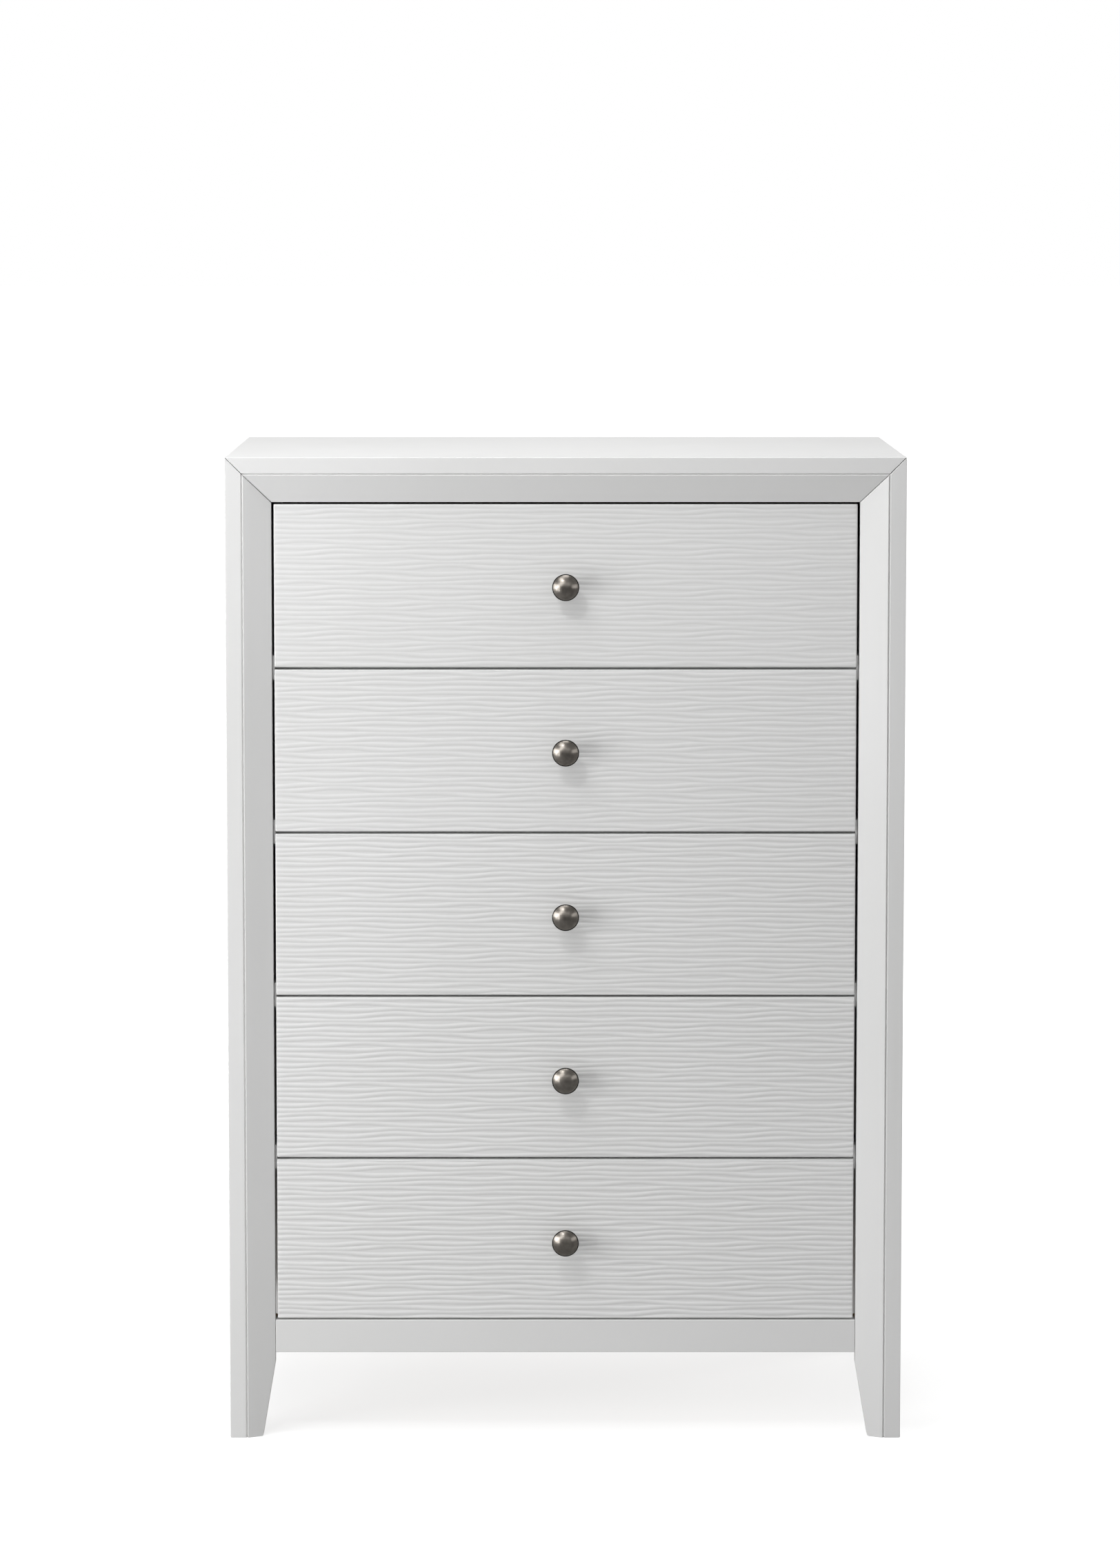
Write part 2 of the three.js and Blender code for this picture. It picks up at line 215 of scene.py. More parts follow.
def wood(name, dark, mid, light, along, pore_depth=0.00008, roughness=(0.42, 0.6)):
    """Straight-grained wood: along is the axis that the grain follows."""
    material, nodes, links, shader = node_material(name)
    stretch = [9.0, 9.0, 9.0]
    stretch["xyz".index(along)] = 0.55
    vector = object_coordinates(nodes, links, stretch)
    broad = noise(nodes, links, vector, 1.6, detail=3.0, distortion=0.6)
    rings = nodes.new("ShaderNodeMath")
    rings.operation = "PINGPONG"
    rings.inputs[1].default_value = 0.5
    spread = nodes.new("ShaderNodeMath")
    spread.operation = "MULTIPLY"
    spread.inputs[1].default_value = 6.0
    links.new(broad, spread.inputs[0])
    links.new(spread.outputs[0], rings.inputs[0])
    base = ramp(nodes, links, rings.outputs[0], [(0.0, dark), (0.2, mid), (0.5, light)])
    pores = noise(nodes, links, vector, 26.0, detail=4.0, roughness=0.65)
    streak = ramp(nodes, links, pores, [(0.36, 0.72), (0.56, 1.0)])
    mix = nodes.new("ShaderNodeMix")
    mix.data_type = "RGBA"
    mix.blend_type = "MULTIPLY"
    mix.inputs["Factor"].default_value = 0.8
    links.new(base, mix.inputs["A"])
    links.new(streak, mix.inputs["B"])
    links.new(mix.outputs["Result"], shader.inputs["Base Color"])
    links.new(map_range(nodes, links, pores, roughness[1], roughness[0]), shader.inputs["Roughness"])
    bump(nodes, links, shader, pores, pore_depth, 0.5)
    return material


def dark_nickel():
    """Satin dark nickel under a thin lacquer, with a cloudy tone and light handling marks."""
    material, nodes, links, shader = node_material("dark_nickel")
    vector = object_coordinates(nodes, links)
    cloud = noise(nodes, links, vector, 160.0, detail=4.0)
    tone = ramp(nodes, links, cloud, [(0.3, (0.146, 0.133, 0.117)), (0.7, (0.208, 0.19, 0.169))])
    links.new(tone, shader.inputs["Base Color"])
    links.new(map_range(nodes, links, cloud, 0.24, 0.36), shader.inputs["Roughness"])
    shader.inputs["Metallic"].default_value = 1.0
    shader.inputs["Coat Weight"].default_value = 0.3
    shader.inputs["Coat Roughness"].default_value = 0.1
    fine = noise(nodes, links, vector, 1400.0, detail=2.0)
    bump(nodes, links, shader, fine, 0.00001, 0.3)
    return material


def patina_and_painted_shade():
    """Darkened metal in a knob's turned groove, and a painted dark reflection and shade on its rim."""
    material, nodes, links, shader = node_material("patina_and_painted_shade")
    vector = object_coordinates(nodes, links)
    cloud = noise(nodes, links, vector, 420.0, detail=3.0)
    tone = ramp(nodes, links, cloud, [(0.3, (0.016, 0.015, 0.013)), (0.7, (0.034, 0.031, 0.027))])
    links.new(tone, shader.inputs["Base Color"])
    links.new(map_range(nodes, links, cloud, 0.3, 0.48), shader.inputs["Roughness"])
    shader.inputs["Metallic"].default_value = 0.5
    bump(nodes, links, shader, cloud, 0.00002, 0.3)
    return material


def zinc_steel():
    material, nodes, links, shader = node_material("zinc_steel")
    vector = object_coordinates(nodes, links, (1, 0.03, 1))
    drawn = noise(nodes, links, vector, 900.0, detail=3.0)
    tone = ramp(nodes, links, drawn, [(0.3, (0.5, 0.51, 0.52)), (0.7, (0.66, 0.67, 0.68))])
    links.new(tone, shader.inputs["Base Color"])
    links.new(map_range(nodes, links, drawn, 0.28, 0.45), shader.inputs["Roughness"])
    shader.inputs["Metallic"].default_value = 1.0
    bump(nodes, links, shader, drawn, 0.00002, 0.4)
    return material


def moulded_plastic():
    material, nodes, links, shader = node_material("moulded_plastic")
    vector = object_coordinates(nodes, links)
    grain = noise(nodes, links, vector, 700.0, detail=2.0)
    tone = ramp(nodes, links, grain, [(0.3, (0.76, 0.75, 0.71)), (0.7, (0.82, 0.81, 0.78))])
    links.new(tone, shader.inputs["Base Color"])
    links.new(map_range(nodes, links, grain, 0.45, 0.58), shader.inputs["Roughness"])
    bump(nodes, links, shader, grain, 0.00003, 0.4)
    return material


def studio_floor():
    material, nodes, links, shader = node_material("studio_floor")
    vector = object_coordinates(nodes, links)
    drift = noise(nodes, links, vector, 0.8, detail=2.0)
    tone = ramp(nodes, links, drift, [(0.3, 0.4), (0.7, 0.42)])
    links.new(tone, shader.inputs["Base Color"])
    shader.inputs["Roughness"].default_value = 0.9
    shader.inputs["Specular IOR Level"].default_value = 0.1
    shader.inputs["Emission Color"].default_value = (1, 1, 1, 1)
    reach = nodes.new("ShaderNodeVectorMath")
    reach.operation = "LENGTH"
    links.new(vector, reach.inputs[0])
    glow = nodes.new("ShaderNodeMapRange")
    glow.interpolation_type = "SMOOTHSTEP"
    glow.inputs["From Min"].default_value = 0.8
    glow.inputs["From Max"].default_value = 3.4
    glow.inputs["To Min"].default_value = 0.74
    glow.inputs["To Max"].default_value = 0.97
    links.new(reach.outputs["Value"], glow.inputs["Value"])
    seen = nodes.new("ShaderNodeLightPath")
    shown = nodes.new("ShaderNodeMath")
    shown.operation = "MULTIPLY"
    links.new(glow.outputs["Result"], shown.inputs[0])
    links.new(seen.outputs["Is Camera Ray"], shown.inputs[1])
    links.new(shown.outputs[0], shader.inputs["Emission Strength"])
    return material


PAINT = white_paint()
HARDWOOD = wood("drawer_hardwood", (0.46, 0.31, 0.17), (0.6, 0.43, 0.26), (0.7, 0.53, 0.34), "y")
CROSS_HARDWOOD = wood("cross_hardwood", (0.46, 0.31, 0.17), (0.6, 0.43, 0.26), (0.7, 0.53, 0.34), "x")
UPRIGHT_HARDWOOD = wood("upright_hardwood", (0.46, 0.31, 0.17), (0.6, 0.43, 0.26), (0.7, 0.53, 0.34), "z")
PLYWOOD = wood("drawer_plywood", (0.5, 0.35, 0.21), (0.58, 0.42, 0.26), (0.64, 0.48, 0.31), "x", 0.00004)
BACK_PLYWOOD = wood("back_plywood", (0.47, 0.32, 0.19), (0.55, 0.39, 0.24), (0.61, 0.45, 0.29), "z", 0.00004)
NICKEL = dark_nickel()
# Patina for the knobs' grooves, also used as painted dark reflection and shade on their rims.
PATINA_AND_SHADE = patina_and_painted_shade()
STEEL = zinc_steel()
PLASTIC = moulded_plastic()


MERGE_GAP = 0.01 * MM
FLAT_ANGLE = math.radians(0.5)
EASED_ANGLE = math.radians(35)


def dress(node, material, ease_mm=None):
    """Gives a CAD node its material, and eases its edges where ease_mm is stated."""
    piece = frame["nodes"][node]
    piece.data.materials.clear()
    piece.data.materials.append(material)
    if ease_mm is not None:
        weld = piece.modifiers.new("weld", "WELD")
        weld.merge_threshold = MERGE_GAP
        flat = piece.modifiers.new("flat", "DECIMATE")
        flat.decimate_type = "DISSOLVE"
        flat.angle_limit = FLAT_ANGLE
        bevel = piece.modifiers.new("eased_edges", "BEVEL")
        bevel.width = ease_mm * MM
        bevel.segments = 3
        bevel.limit_method = "ANGLE"
        bevel.angle_limit = EASED_ANGLE
        bevel.harden_normals = True


# ------------------------------------------------------------------ face frame
# The moulding runs from the outer edge inwards: flat band, V groove, then a band that slopes back.
BAND = 19.3 * MM
GROOVE_WIDTH = 3.1 * MM
GROOVE_DEPTH = 2.6 * MM
RECESS = 13.0 * MM
ARRIS = 0.9 * MM  # radius of the frame's long edges
MITRE_EASE = 1.4 * MM
MITRE_GAP = 0.26 * MM
FOOT_EASE = 2.2 * MM
TAPER_HEIGHT = 92.5 * MM  # the feet narrow below this height
TAPER = 15.6 * MM
CUT_TOLERANCE = 1e-7


def slice_off(bm, place, normal):
    """Cuts away what lies beyond a plane and closes the cut."""
    geometry = bm.verts[:] + bm.edges[:] + bm.faces[:]
    cut = bmesh.ops.bisect_plane(bm, geom=geometry, plane_co=place, plane_no=normal, clear_outer=True,
                                 dist=CUT_TOLERANCE)
    edges = [e for e in cut["geom_cut"] if isinstance(e, bmesh.types.BMEdge)]
    if edges:
        bmesh.ops.edgeloop_fill(bm, edges=edges)


def ease_edge(bm, place, first, second, radius, steps=3):
    """Rounds the straight edge through place where planes with these outward normals meet."""
    first, second = first.normalized(), second.normalized()
    turn = first.angle(second)
    middle = (first + second).normalized()
    centre = place - middle * (radius / math.cos(turn / 2))
    for step in range(steps):
        share = (step + 0.5) / steps
        normal = (first * math.sin((1 - share) * turn) + second * math.sin(share * turn)).normalized()
        slice_off(bm, centre + normal * radius, normal)


def moulding_outline():
    """The moulding's section as (across, depth) pairs, with its two outer edges rounded."""
    outer = [(ARRIS * (1 - math.cos(a)), ARRIS * (1 - math.sin(a))) for a in np.linspace(0, math.pi / 2, 5)]
    groove = [(BAND, 0.0), (BAND + GROOVE_WIDTH / 2, GROOVE_DEPTH), (BAND + GROOVE_WIDTH, 0.0)]
    thickness = FRAME_BACK - FRAME_FRONT
    return outer + groove + [(STILE_WIDTH, RECESS), (STILE_WIDTH, thickness), (0.0, thickness)]


SLOPE = math.atan2(RECESS, STILE_WIDTH - BAND - GROOVE_WIDTH)
FRONTWARD = Vector((0, -1, 0))


def frame_member(name, corner, across, along, length):
    """A bar of the moulding. corner is the outer front corner at its start; across points inwards."""
    bm = bmesh.new()
    rings = []
    for distance in (0.0, length):
        points = [corner + across * a + Vector((0, d, 0)) + along * distance for a, d in moulding_outline()]
        rings.append([bm.verts.new(p) for p in points])
    count = len(rings[0])
    for i in range(count):
        bm.faces.new((rings[0][i], rings[0][(i + 1) % count], rings[1][(i + 1) % count], rings[1][i]))
    bm.faces.new(rings[0][::-1])
    bm.faces.new(rings[1])
    bmesh.ops.recalc_face_normals(bm, faces=bm.faces)
    return bm


def sloped_normal(across):
    """Outward normal of the inner band, which turns towards the opening."""
    return (FRONTWARD * math.cos(SLOPE) + across * math.sin(SLOPE)).normalized()


def mitre(bm, corner, cut_normal, across):
    """Cuts a 45 degree mitre through the outer front corner and eases both bands' edges along it."""
    on_edge = corner - cut_normal * MITRE_GAP
    slice_off(bm, on_edge, cut_normal)
    ease_edge(bm, on_edge, FRONTWARD, cut_normal, MITRE_EASE, 2)
    inner = sloped_normal(across)
    # A point of the inner band's edge: the band's plane passes through the groove's inner lip.
    lip = BAND + GROOVE_WIDTH
    along_mitre = across - cut_normal * across.dot(cut_normal)
    along_mitre /= along_mitre.dot(across)
    on_edge = on_edge + along_mitre * lip
    ease_edge(bm, on_edge, inner, cut_normal, MITRE_EASE, 2)


def stile(name, side):
    """side is -1 for the left stile and 1 for the right one."""
    across = Vector((-side, 0, 0))
    corner = Vector((side * OUTER, FRAME_FRONT, 0))
    bm = frame_member(name, corner, across, Vector((0, 0, 1)), HEIGHT)
    top_corner = Vector((side * OUTER, FRAME_FRONT, HEIGHT))
    mitre_normal = Vector((-side, 0, 1)).normalized()
    mitre(bm, top_corner, mitre_normal, across)
    inner_x = side * (OUTER - STILE_WIDTH)
    taper_normal = Vector((-side * TAPER_HEIGHT, 0, -TAPER)).normalized()
    knee = Vector((inner_x, FRAME_FRONT + RECESS, TAPER_HEIGHT))
    slice_off(bm, knee, taper_normal)
    inner_normal = Vector((-side, 0, 0))
    ease_edge(bm, Vector((inner_x, FRAME_FRONT + RECESS, 0)), sloped_normal(across), inner_normal, ARRIS, 2)
    foot_inner = side * (OUTER - STILE_WIDTH + TAPER)
    foot_depth = RECESS - TAPER * math.tan(SLOPE)
    foot_corner = Vector((foot_inner, FRAME_FRONT + foot_depth, 0))
    ease_edge(bm, foot_corner, sloped_normal(across), taper_normal, ARRIS, 2)
    down = Vector((0, 0, -1))
    ease_edge(bm, Vector((foot_inner, 0, 0)), taper_normal, down, FOOT_EASE, 3)
    ease_edge(bm, Vector((side * OUTER, 0, 0)), Vector((side, 0, 0)), down, FOOT_EASE, 3)
    ease_edge(bm, Vector((0, FRAME_FRONT, 0)), FRONTWARD, down, ARRIS, 2)
    return piece_from_bmesh(name, bm, 40, True)


def top_rail():
    across = Vector((0, 0, -1))
    corner = Vector((-OUTER, FRAME_FRONT, HEIGHT))
    bm = frame_member("mitred_top_rail", corner, across, Vector((1, 0, 0)), 2 * OUTER)
    for side in (-1, 1):
        end = Vector((side * OUTER, FRAME_FRONT, HEIGHT))
        mitre(bm, end, Vector((side, 0, -1)).normalized(), across)
    inner = Vector((0, FRAME_FRONT + RECESS, HEIGHT - STILE_WIDTH))
    ease_edge(bm, inner, sloped_normal(across), Vector((0, 0, -1)), ARRIS, 2)
    return piece_from_bmesh("mitred_top_rail", bm, 40, True)


for side, word in ((-1, "left"), (1, "right")):
    made = stile(f"moulded_{word}_stile", side)
    made.data.materials.append(PAINT)
    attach(made, "case")
    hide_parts(f"{word}_stile")

made = top_rail()
made.data.materials.append(PAINT)
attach(made, "case")
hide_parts("top_rail")

# ------------------------------------------------------------------ case pieces kept from the frame
for node in ("top_panel", "front_left_post", "front_right_post", "rear_left_leg", "rear_right_leg",
             "bottom_rail"):
    dress(node, PAINT, 0.9)
for node in ("left_side_panel", "right_side_panel"):
    dress(node, PAINT, 0.6)
for number in range(1, len(DRAWERS)):
    dress(f"divider_rail_{number}", PAINT, 0.8)
dress("back_panel", BACK_PLYWOOD, 0.4)
for node in ("rear_top_rail", "rear_stretcher", "lower_runner_rail"):
    dress(node, CROSS_HARDWOOD, 0.8)
dress("back_brace", UPRIGHT_HARDWOOD, 0.8)

# White pads on the ends of the divider rails fill the gaps beside the drawer fronts.
PAD_REACH = 12.0 * MM
PAD_SLACK = 0.3 * MM
PAD_SEAT_GAP = 0.05 * MM
PAD_EASE = 0.5 * MM


def rail_end_pad(number, side):
    low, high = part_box(f"divider_rail_{number}")
    front_low, front_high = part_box("drawer_1_front")
    inner = front_high.x + PAD_SLACK
    outer = OUTER - STILE_WIDTH - PAD_SLACK
    bm = bmesh.new()
    made = bmesh.ops.create_cube(bm, size=1.0)["verts"]
    bmesh.ops.scale(bm, vec=(outer - inner, PAD_REACH, high.z - low.z - 2 * PAD_SLACK), verts=made)
    middle = Vector((side * (inner + outer) / 2, low.y - PAD_REACH / 2 - PAD_SEAT_GAP, (low.z + high.z) / 2))
    bmesh.ops.translate(bm, vec=middle, verts=made)
    bmesh.ops.bevel(bm, geom=bm.edges[:], offset=PAD_EASE, segments=2, affect="EDGES")
    word = "left" if side < 0 else "right"
    pad = piece_from_bmesh(f"rail_end_pad_{number}_{word}", bm, 30)
    pad.data.materials.append(PAINT)
    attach(pad, "case")


for number in range(1, len(DRAWERS)):
    for side in (-1, 1):
        rail_end_pad(number, side)

# ------------------------------------------------------------------ rippled drawer fronts
RIPPLE_REPEAT = 50.5 * MM  # the carved pattern repeats up the front at this pitch
RIPPLE_WIDTH = 478.0 * MM  # and along it at this one
BEADS = 8
BEAD_HALF_WIDTH = 2.9 * MM
BEAD_HEIGHT = (0.35 * MM, 0.45 * MM, 0.57 * MM, 0.67 * MM, 0.69 * MM)  # tuned to the look, top first
LEAST_SPACING = 3.9 * MM
FRONT_ARRIS = 1.7 * MM
SKIN = 3.0 * MM
GRID_X = 3.2 * MM
GRID_Z = 0.62 * MM
WANDER = (0.75, 0.8, 1.05, 0.66, 0.45, 0.28)  # millimetres, for 1 to 6 waves along the repeat
RIPPLE_SEED = 11
SPREAD_ROUNDS = 60
BEAD_ROUNDNESS = 0.85
SHIFT_ALONG = 0.137  # metres by which the pattern moves along and up from one drawer to the next
SHIFT_UP = 0.0213


def bead_lines(x):
    """Heights of the beads' middles within one repeat, a row for each bead."""
    chance = np.random.default_rng(RIPPLE_SEED)
    pitch = RIPPLE_REPEAT / BEADS
    lines = []
    for bead in range(BEADS):
        line = np.full_like(x, bead * pitch)
        for waves, size in enumerate(WANDER, 1):
            phase = chance.uniform(0, 2 * math.pi)
            swing = size * MM * chance.uniform(0.6, 1.3)
            line = line + swing * np.sin(2 * math.pi * waves * x / RIPPLE_WIDTH + phase)
        lines.append(line)
    lines = np.array(lines)
    for _ in range(SPREAD_ROUNDS):  # neighbours that come too close push each other apart
        following = np.roll(lines, -1, axis=0)
        following[-1] += RIPPLE_REPEAT
        short = np.clip(LEAST_SPACING - (following - lines), 0, None) / 2
        lines = lines - short + np.roll(short, 1, axis=0)
    return lines


def ripple(x, z):
    """Relief from 0 to 1 over a grid: rows are heights z, columns are places x."""
    lines = bead_lines(x)
    relief = np.zeros((len(z), len(x)))
    folded = np.mod(z, RIPPLE_REPEAT)
    for line in lines:
        for shift in (-RIPPLE_REPEAT, 0.0, RIPPLE_REPEAT):
            off = (folded[:, None] - (line[None, :] + shift)) / BEAD_HALF_WIDTH
            relief = np.maximum(relief, np.clip(1 - off * off, 0, None) ** BEAD_ROUNDNESS)
    return relief


def grid_lines(low, high, step):
    """Places from low to high, close together in the rounded edges."""
    edge = FRONT_ARRIS * np.array([0.0, 0.06, 0.16, 0.3, 0.48, 0.72, 1.0])
    count = max(2, round((high - low - 2 * FRONT_ARRIS) / step))
    middle = np.linspace(low + FRONT_ARRIS, high - FRONT_ARRIS, count + 1)
    return np.concatenate([low + edge[:-1], middle, high - edge[-2::-1]])


def edge_drop(places, low, high):
    """How far into the rounded edge each place is, from 0 inside it to 1 at the very edge."""
    return np.clip(1 - np.minimum(places - low, high - places) / FRONT_ARRIS, 0, 1)


def front_skin(low, high, number):
    """The carved face as a closed shell: relief in front, flat behind."""
    x = grid_lines(low.x, high.x, GRID_X)
    z = grid_lines(low.z, high.z, GRID_Z)
    height = BEAD_HEIGHT[number - 1]
    relief = ripple(x - low.x + number * SHIFT_ALONG, z - low.z + number * SHIFT_UP)
    across, upward = edge_drop(x, low.x, high.x)[None, :], edge_drop(z, low.z, high.z)[:, None]
    reach = np.minimum(np.sqrt(across ** 2 + upward ** 2), 1.0)
    fade = 1 - reach ** 2
    rounding = FRONT_ARRIS * (1 - np.sqrt(np.clip(1 - reach ** 2, 0, 1)))
    depth = low.y + height * (1 - relief) * fade + rounding
    # Squares at the corners become quarter discs, so the corners are round seen from the front.
    grid_x = np.where(np.array(x) < (low.x + high.x) / 2, low.x + FRONT_ARRIS, high.x - FRONT_ARRIS)
    grid_z = np.where(np.array(z) < (low.z + high.z) / 2, low.z + FRONT_ARRIS, high.z - FRONT_ARRIS)
    sign_x = np.where(x < (low.x + high.x) / 2, -1, 1)
    sign_z = np.where(z < (low.z + high.z) / 2, -1, 1)
    full_x = np.broadcast_to(x, depth.shape).copy()
    full_z = np.broadcast_to(z[:, None], depth.shape).copy()
    in_corner = (across > 0) & (upward > 0)
    round_x = grid_x[None, :] + sign_x[None, :] * FRONT_ARRIS * across * np.sqrt(1 - upward ** 2 / 2)
    round_z = grid_z[:, None] + sign_z[:, None] * FRONT_ARRIS * upward * np.sqrt(1 - across ** 2 / 2)
    full_x[in_corner] = round_x[in_corner]
    full_z[in_corner] = round_z[in_corner]
    rows, columns = depth.shape
    face = np.stack([full_x, depth, full_z], axis=-1).reshape(-1, 3)
    index = np.arange(rows * columns).reshape(rows, columns)
    quads = np.stack([index[:-1, :-1], index[:-1, 1:], index[1:, 1:], index[1:, :-1]], axis=-1)
    quads = quads.reshape(-1, 4)
    rim = np.concatenate([index[0, :-1], index[:-1, -1], index[-1, :0:-1], index[:0:-1, 0]])
    back = face[rim].copy()
    back[:, 1] = low.y + SKIN
    start = len(face)
    rim_back = np.arange(start, start + len(rim))
    sides = np.stack([rim, rim_back, np.roll(rim_back, -1), np.roll(rim, -1)], axis=-1)
    faces = [tuple(map(int, q)) for q in np.concatenate([quads, sides])]
    faces.append(tuple(int(i) for i in rim_back))
    return np.concatenate([face, back]), faces


def carved_front(number):
    """A drawer front: the carved skin joined to the frame's own board, set back behind the skin."""
    node = f"drawer_{number}_front"
    low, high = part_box(node)
    points, faces = front_skin(low, high, number)
    piece = link(f"carved_front_{number}", mesh_from(f"carved_front_{number}", points, faces))
    board = frame["nodes"][node].data.copy()
    for vertex in board.vertices:
        if vertex.co.y < low.y + 0.1 * MM:
            vertex.co.y = low.y + SKIN
    board.materials.clear()
    bm = bmesh.new()
    bm.from_mesh(board)
    bmesh.ops.remove_doubles(bm, verts=bm.verts, dist=MERGE_GAP)
    bmesh.ops.dissolve_limit(bm, angle_limit=FLAT_ANGLE, verts=bm.verts, edges=bm.edges)
    for face in bm.faces:
        face.smooth = False
    bm.from_mesh(piece.data)
    bmesh.ops.recalc_face_normals(bm, faces=bm.faces)
    bm.to_mesh(piece.data)
    bm.free()
    bpy.data.meshes.remove(board)
    shade_smooth(piece, 50)
    piece.data.materials.append(PAINT)
    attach(piece, f"drawer_{number}")
    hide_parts(node)


for number in range(1, len(DRAWERS) + 1):
    carved_front(number)


# ------------------------------------------------------------------ turned pieces
FACINGS = {"-y": Vector((0, -1, 0)), "+y": Vector((0, 1, 0)), "+z": Vector((0, 0, 1))}


def set_upon(bm, place, axis):
    """Turns a mesh that was made along +z to face along axis, and moves it to place."""
    rotation = Vector((0, 0, 1)).rotation_difference(FACINGS[axis]).to_matrix()
    bmesh.ops.rotate(bm, verts=bm.verts, cent=(0, 0, 0), matrix=rotation)
    bmesh.ops.translate(bm, verts=bm.verts, vec=place)


def turned(name, profile, segments, place, axis="-y", second=()):
    """A solid of revolution; profile is (radius, height) from its foot to its tip, both on the axis.

    second holds the numbers of the bands that take the piece's second material.
    """
    bm = bmesh.new()
    rings = []
    for radius, height in profile:
        if radius < 1e-7:
            rings.append([bm.verts.new((0, 0, height))])
            continue
        angles = [2 * math.pi * i / segments for i in range(segments)]
        rings.append([bm.verts.new((radius * math.cos(a), radius * math.sin(a), height)) for a in angles])
    for band, (lower, upper) in enumerate(zip(rings, rings[1:])):
        for i in range(segments):
            j = (i + 1) % segments
            below = [lower[i % len(lower)], lower[j % len(lower)]]
            above = [upper[j % len(upper)], upper[i % len(upper)]]
            unique = list(dict.fromkeys(below + above))
            if len(unique) > 2:
                bm.faces.new(unique).material_index = int(band in second)
    set_upon(bm, place, axis)
    return piece_from_bmesh(name, bm, 40)


KNOB_SEGMENTS = 96
DOME_STEPS = 30


def knob_profile(reach, cap):
    """Foot, waisted stem, cap, the thin rim outside its groove, and a dome."""
    rim = 19.0 * MM
    lip = 20.7 * MM
    groove = 1.05 * MM
    stem = [(0.0, 0.0), (8.3 * MM, 0.0), (8.5 * MM, 0.3 * MM), (8.5 * MM, 1.3 * MM), (8.1 * MM, 1.8 * MM),
            (7.2 * MM, 3.2 * MM), (6.5 * MM, 5.6 * MM), (6.2 * MM, 9.0 * MM), (6.6 * MM, 11.5 * MM),
            (8.2 * MM, 14.2 * MM), (11.0 * MM, 16.4 * MM), (14.0 * MM, 18.0 * MM)]
    edge = [(cap - 0.9 * MM, rim - 0.45 * MM), (cap - 0.2 * MM, rim), (cap, rim + 0.5 * MM),
            (cap, lip - 0.3 * MM), (cap - 0.1 * MM, lip - 0.1 * MM), (cap - 0.25 * MM, lip),
            (cap - 0.4 * MM, lip - 0.15 * MM), (cap - groove + 0.1 * MM, lip - 0.8 * MM),
            (cap - groove, lip - 0.85 * MM)]
    crown = cap - groove
    rise = reach - lip
    curvature_radius = (crown ** 2 + rise ** 2) / (2 * rise)
    edge_slope = math.asin(crown / curvature_radius)
    dome = []
    for step in range(1, DOME_STEPS + 1):
        slope = edge_slope * (1 - step / DOME_STEPS)
        dome.append((curvature_radius * math.sin(slope), reach - curvature_radius * (1 - math.cos(slope))))
    dome[-1] = (0.0, reach)
    # The groove and rim bands take the second material: patina in the groove, painted dark reflection and
    # shade on the rim.
    dark_bands = range(len(stem), len(stem) + len(edge))
    return stem + edge + [(crown, lip)] + dome, dark_bands


for number in range(1, len(DRAWERS) + 1):
    low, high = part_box(f"drawer_{number}_knob")
    seat = Vector(((low.x + high.x) / 2, high.y, (low.z + high.z) / 2))
    profile, dark_bands = knob_profile(high.y - low.y, (high.x - low.x) / 2)
    knob = turned(f"turned_knob_{number}", profile, KNOB_SEGMENTS, seat, second=dark_bands)
    knob.data.materials.append(NICKEL)
    # Second material: patina in the groove and painted dark reflection and shade on the knob's rim.
    knob.data.materials.append(PATINA_AND_SHADE)
    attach(knob, f"drawer_{number}")
    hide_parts(f"drawer_{number}_knob")

# ------------------------------------------------------------------ drawer boxes
for number in range(1, len(DRAWERS) + 1):
    for part in ("left_side", "right_side"):
        dress(f"drawer_{number}_{part}", HARDWOOD, 0.5)
    dress(f"drawer_{number}_back", CROSS_HARDWOOD, 0.3)
    dress(f"drawer_{number}_bottom", PLYWOOD, 0.2)
    dress(f"drawer_{number}_glide", PLASTIC, 0.8)
    dress(f"drawer_track_{number}", STEEL, 0.3)

# ------------------------------------------------------------------ screws, brackets and staples
KNOB_SCREW = (4.6 * MM, 2.6 * MM)  # radius and height of the head
WASHER = (7.5 * MM, 1.0 * MM)
GLIDE_SCREW = (3.6 * MM, 1.8 * MM)
TRACK_SCREW = (3.2 * MM, 0.9 * MM)
BRACKET_SCREW = (2.9 * MM, 1.5 * MM)
SEAT_GAP = 0.05 * MM
HEAD_RINGS = 26
HEAD_SEGMENTS = 64


def cross_recess(radius, across, along):
    """How deep a point of a screw head lies in its cross recess, from 0 to 1."""
    arm = 0.15 * radius
    reach = 0.62 * radius
    inside = 0.0
    for near, far in ((abs(across), abs(along)), (abs(along), abs(across))):
        wall = min(max((arm - near) / (0.35 * arm), 0.0), 1.0)
        end = min(max((reach - far) / (0.3 * reach), 0.0), 1.0)
        inside = max(inside, wall * end)
    return inside


